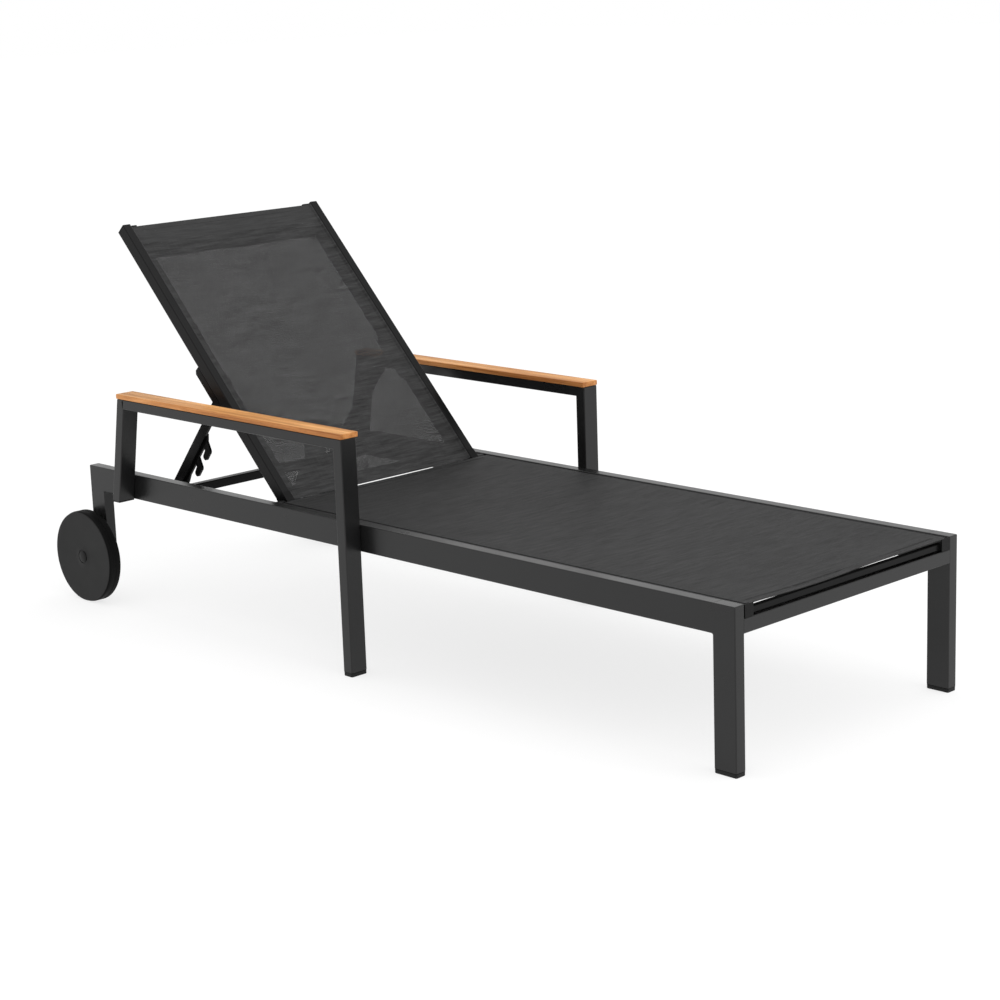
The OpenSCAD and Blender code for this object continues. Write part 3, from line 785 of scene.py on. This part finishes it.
def back_point(a, v):
    """A point of the backrest sling, a metres above the hinge; v from -1 to 1 across."""
    y = v * BACK_HALF
    t = min(1.0, abs(y) / BACK_IN)
    span = (a - BACK_A0) / (BACK_A1 - BACK_A0)
    sag = BACK_SAG * (1 - t ** 2) * math.sin(math.pi * min(1, max(0, span))) ** 0.6
    wob = 0.0006 * noise.noise(Vector((a * 8, y * 5, 7.3))) * (1 - t ** 4)
    rim = min(1.0, max(0.0, (abs(y) - LIP_IN + CORD_START) / CORD_RISE))
    cord = CORD_LIFT * rim * rim * (3 - 2 * rim)
    return IN_BACK @ Vector((-a, y, LEDGE + CLOTH_CLEAR - sag + wob + cord))


BACK_ROWS = 80
EDGE_BAND = 0.0075


def back_rows(a0, a1, n):
    """Rows of the backrest sling's points, from a0 to a1 in n steps; finer along its two edges."""
    inner = 1 - EDGE_BAND / BACK_HALF
    across = [-1 + (1 - inner) * j / 8 for j in range(8)]
    across += [inner * (-1 + 2 * j / 40) for j in range(41)]
    across += [inner + (1 - inner) * (j + 1) / 8 for j in range(8)]
    return [[back_point(a0 + (a1 - a0) * i / n, v) for v in across] for i in range(n + 1)]


back = strip("back_mesh", back_rows(BACK_A1, BACK_A0, BACK_ROWS), MESH, "backrest", ("back_sling",))
# The cloth is double from the top edge down to the top bar
back.data.materials.append(MESH_DOUBLE)
row_step = (BACK_A1 - BACK_A0) / BACK_ROWS
double_rows = int((BACK_A1 - BAR_TOP) / row_step)
per_row = len(back.data.polygons) // BACK_ROWS
for face in back.data.polygons[:double_rows * per_row]:
    face.material_index = 1


def pocket():
    """The sling's upper end: turned over at the top edge, round the bar and sewn below it."""
    half = BACK_IN - 0.0015
    rear = BAR_Z - BAR_DEPTH / 2 - 0.0008
    front = LEDGE + CLOTH_CLEAR
    outline = [(BACK_A1 + 0.0010 * math.sin(math.pi * k / 6),
                front - 0.0010 * (1 - math.cos(math.pi * k / 6))) for k in range(7)]
    outline += [(BAR_TOP + 0.012, front - 0.0105), (BAR_TOP + 0.0035, rear + 0.0012),
                (BAR_TOP, rear), (BAR_FOOT, rear), (BAR_FOOT - 0.0016, rear + 0.0012),
                (BAR_FOOT - 0.0022, front - 0.008), (BAR_FOOT - 0.0045, front - 0.0045),
                (POCKET_SEAM - 0.002, front - 0.0032)]
    section = [Vector((-a, 0, z)) for a, z in outline]
    rows = [[IN_BACK @ (p + Vector((0, half * (-1 + 2 * j / 24), 0))) for j in range(25)]
            for p in section]
    piece = strip("back_pocket", rows, MESH_DOUBLE, "backrest")


pocket()
BACK_NORMAL = IN_BACK.to_3x3() @ Vector((0, 0, 1))
back_trim = []
for k, at in enumerate((BACK_A1 - 0.0115, POCKET_SEAM)):
    back_trim += seam(f"back_seam_{k + 1}", lambda v: back_point(at, v), 0.91,
                      BACK_NORMAL, "backrest")


# ---------------------------------------------------------------- carried-over CAD nodes

record = frame["record"]
node_slot = {p["node"]: p["material_slot"] for p in record["subparts"]}
SMALL_EDGE, CAST_EDGE = 0.0006, 0.0012
STRUTS = ("strut_arm_R", "strut_arm_L", "hook_plate_R", "hook_plate_L")
BACK_RAILS = ("back_rail_R", "back_rail_L")
BRACKETS = ("strut_bracket_R", "strut_bracket_L")
CAPS = ("seat_rail_caps", "back_rail_caps")
for name, obj in NODES.items():
    obj.data.materials.clear()
    obj.data.materials.append(SLOT_MATERIAL[node_slot[name]])
# The back rails take the darker, duller coat: painted shade
for node in BACK_RAILS:
    NODES[node].data.materials[0] = BACK_SHADED_COAT
# Struts, brackets, knuckles and the bottom bar take the darker coat: painted shade of the parts
# under the seat and back
for node in (*STRUTS, *BRACKETS, "hinge_knuckles", "back_bottom_bar"):
    NODES[node].data.materials[0] = SHADED_COAT
for node in CAPS:
    NODES[node].data.materials[0] = CAP
for node in (*BACK_RAILS, *STRUTS, *CAPS, "seat_rail_R", "seat_rail_L", "back_top_bar",
             "back_bottom_bar"):
    soften(node, SMALL_EDGE)
for node in (*BRACKETS, "hinge_knuckles"):
    soften(node, CAST_EDGE)


# ---------------------------------------------------------------- floor, light and camera

bpy.ops.mesh.primitive_plane_add(size=60, location=(0, 0, 0))
floor = bpy.context.object
floor.name = "floor"
mat, nodes, links, bsdf = new_material("floor")
bsdf.inputs["Base Color"].default_value = (*grey(0.27), 1)
bsdf.inputs["Emission Color"].default_value = (1, 1, 1, 1)
bsdf.inputs["Emission Strength"].default_value = 0.755
bsdf.inputs["Roughness"].default_value = 0.9
bsdf.inputs["Specular IOR Level"].default_value = 0.0
floor.data.materials.append(mat)

world = bpy.data.worlds.new("studio")
bpy.context.scene.world = world
world.use_nodes = True
world.node_tree.nodes["Background"].inputs["Color"].default_value = (1, 1, 1, 1)
world.node_tree.nodes["Background"].inputs["Strength"].default_value = 1.0


def area_light(name, loc, target, size, power):
    data = bpy.data.lights.new(name, "AREA")
    data.shape = "RECTANGLE"
    data.size, data.size_y = size
    data.energy = power
    obj = bpy.data.objects.new(name, data)
    bpy.context.scene.collection.objects.link(obj)
    obj.location = loc
    obj.rotation_euler = (Vector(target) - Vector(loc)).to_track_quat("-Z", "Y").to_euler()


area_light("overhead", (0.6, 0.3, 3.4), target=(0, 0, 0.2), size=(3.0, 2.4), power=22)
area_light("front", (4.2, 0.6, 2.2), target=(0.3, 0, 0.3), size=(2.4, 1.8), power=34)

scene = bpy.context.scene
scene.view_settings.view_transform = "Standard"
scene.view_settings.look = "None"
scene.view_settings.exposure = 0.0
scene.view_settings.gamma = 1.0

# The camera: where it stands, its three angles and its focal length in sensor widths
STAND = Vector((HALF + 2.457714, -3.244428, 1.385128))
YAW, PITCH, ROLL = (math.radians(a) for a in (45.899, -13.06, -1.948))
FOCAL = 2.348124
forward = Vector((-math.sin(YAW) * math.cos(PITCH), math.cos(YAW) * math.cos(PITCH),
                  math.sin(PITCH)))
right = forward.cross(Vector((0, 0, 1))).normalized()
up = right.cross(forward)
cam_right = right * math.cos(ROLL) + up * math.sin(ROLL)
cam_up = -right * math.sin(ROLL) + up * math.cos(ROLL)
cam_data = bpy.data.cameras.new("camera")
cam_data.sensor_width = 36.0
cam_data.lens = FOCAL * cam_data.sensor_width
cam_data.clip_end = 100
cam = bpy.data.objects.new("camera", cam_data)
scene.collection.objects.link(cam)
rot = Matrix((cam_right, cam_up, -forward)).transposed()
cam.matrix_world = Matrix.Translation(STAND) @ rot.to_4x4()
scene.camera = cam
